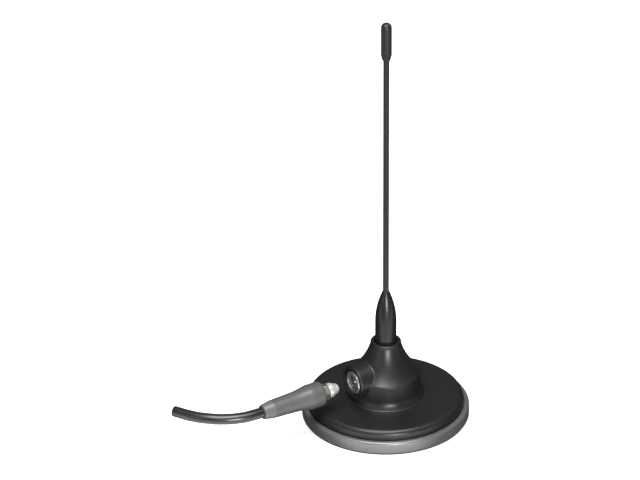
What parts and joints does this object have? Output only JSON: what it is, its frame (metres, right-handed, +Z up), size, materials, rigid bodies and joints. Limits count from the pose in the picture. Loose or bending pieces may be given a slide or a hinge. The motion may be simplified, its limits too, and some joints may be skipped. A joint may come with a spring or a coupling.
{
  "type": "magnetic-mount whip antenna",
  "caption": "Magnet-foot cellular whip antenna with a flared hub, a side coaxial socket and a pull-out plug on a short cut lead.",
  "frame": {"origin": "centre of the foot's underside, on the whip's axis, where the soft pad meets the surface it stands on", "axes": "+Z up along the whip; -X along the socket's axis, from the whip out of the socket's mouth; +Y completes a right-handed frame"},
  "size_m": [0.1389, 0.076, 0.203],
  "materials": {
    "pot_paint": "satin grey coating",
    "ferrite": "matt dark grey",
    "pad_rubber": "matt",
    "cover_plastic": "satin moulded",
    "zinc_steel": "bright zinc plating",
    "turned_brass": "turned",
    "tinned": "tin plating",
    "copper": "bare drawn copper",
    "nickel": "turned nickel plating",
    "spring_bronze": "rolled strip",
    "ptfe": "white fluoropolymer",
    "gold_contact": "thin gold plating",
    "black_coating": "satin black coating on brass",
    "stainless": "drawn spring wire",
    "sleeve_black": "satin shrink sleeve",
    "cap_black": "satin moulded",
    "boot_grey": "satin moulded",
    "jacket_pvc": "satin extruded",
    "braid_tinned": "woven tinned copper",
    "foam_white": "extruded polyethylene"
  },
  "bodies": {
    "base": {"base_pot": "pot_paint", "magnet_ring": "ferrite", "bottom_pad": "pad_rubber", "pot_gasket": "pad_rubber", "cover_screws": "zinc_steel", "top_cover": "cover_plastic", "whip_bushing": "turned_brass", "bushing_nut": "turned_brass", "feed_tag": "tinned", "feed_wire": "copper", "socket_body": "nickel", "socket_seal": "pad_rubber", "socket_spring": "spring_bronze", "socket_insulator": "ptfe", "socket_pin": "gold_contact", "ground_strap": "tinned", "socket_washer": "zinc_steel", "socket_nut": "nickel"},
    "seal": {"whip_washer": "pad_rubber"},
    "whip": {"whip_ferrule": "black_coating", "whip_stud": "turned_brass", "whip_rod": "stainless", "rod_sleeve": "sleeve_black", "tip_cap": "cap_black"},
    "plug": {"plug_shell": "nickel", "plug_insulator": "ptfe", "plug_contact": "gold_contact", "crimp_sleeve": "nickel", "plug_boot": "boot_grey", "cable_jacket": "jacket_pvc", "cable_braid": "braid_tinned", "cable_dielectric": "foam_white", "cable_conductor": "copper"}
  },
  "joints": [
    {"name": "plug_slide", "type": "slide", "parent": "base", "child": "plug", "axis": [1, 0, 0], "range_m": [0, 0.0136]},
    {"name": "whip_lift", "type": "slide", "parent": "base", "child": "seal", "axis": [0, 0, 1], "range_m": [0, 0.0064]},
    {"name": "whip_screw", "type": "hinge", "parent": "seal", "child": "whip", "pos_m": [0, 0, 0.0378], "axis": [0, 0, 1], "range_deg": [0, 2880]}
  ],
  "couplings": [
    {"joint": "whip_lift", "follows": "whip_screw", "m_per_rad": 0.00012732}
  ]
}
